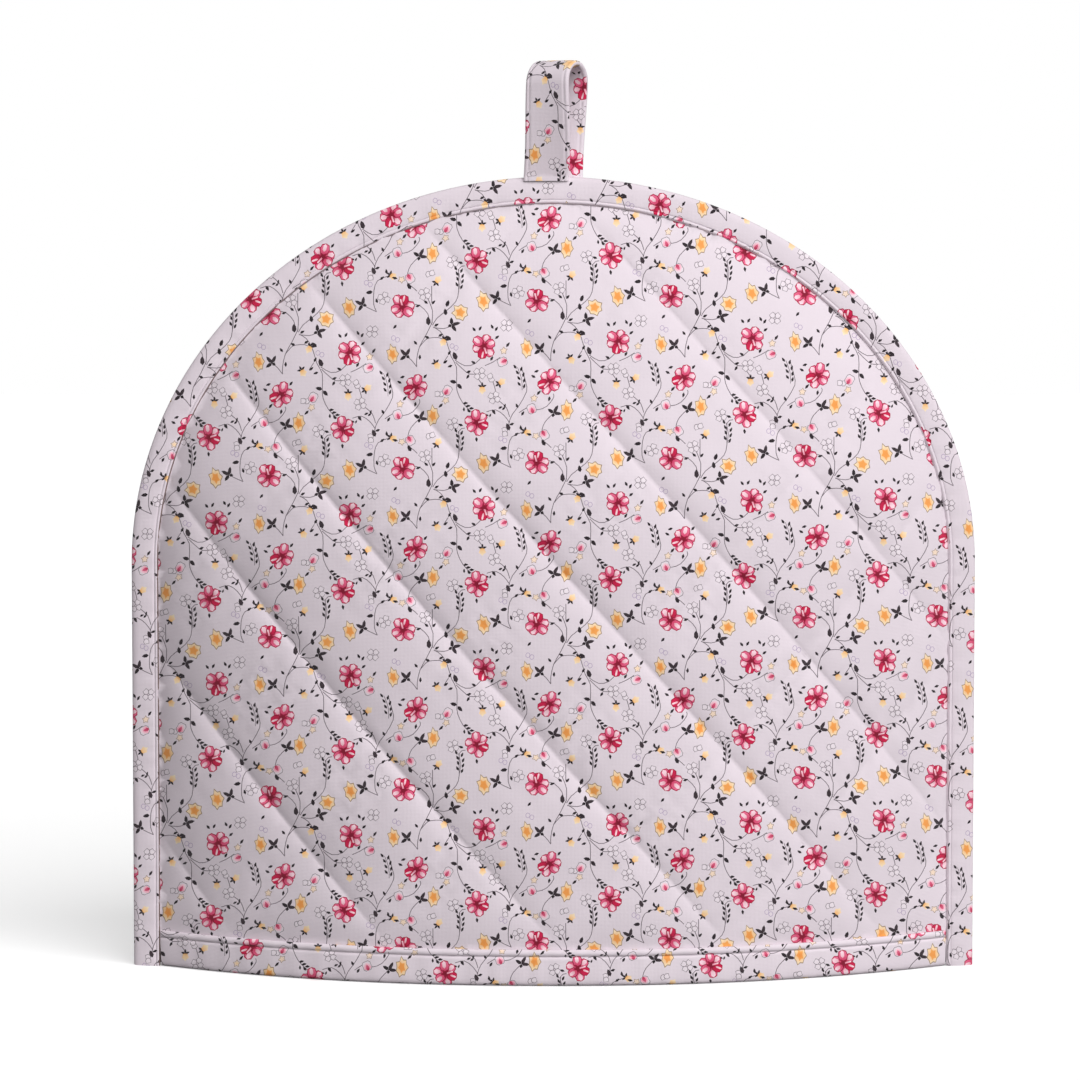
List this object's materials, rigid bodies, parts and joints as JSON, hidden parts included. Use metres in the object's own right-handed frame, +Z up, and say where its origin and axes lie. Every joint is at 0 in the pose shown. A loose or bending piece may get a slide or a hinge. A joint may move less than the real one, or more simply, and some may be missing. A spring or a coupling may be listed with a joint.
{
  "type": "quilted tea cosy",
  "caption": "Dome-shaped quilted tea cosy with bound edges, a bound hem and a hanging loop, standing open on its hem.",
  "frame": {"origin": "on the surface that the hem stands on, under the middle of the cosy", "axes": "+X to the right of the front, -Y out of the front panel, +Z up to the loop"},
  "size_m": [0.33, 0.1096, 0.354],
  "materials": {
    "printed_cotton": "plain-weave cotton with a small flower print, quilted, matt",
    "printed_tape": "the same printed cotton cut as folded binding tape, stitched, matt"
  },
  "bodies": {
    "root": {"front_panel": "printed_cotton", "back_panel": "printed_cotton", "front_hem": "printed_tape", "back_hem": "printed_tape", "edge_binding": "printed_tape", "hanging_loop": "printed_tape"}
  },
  "joints": []
}
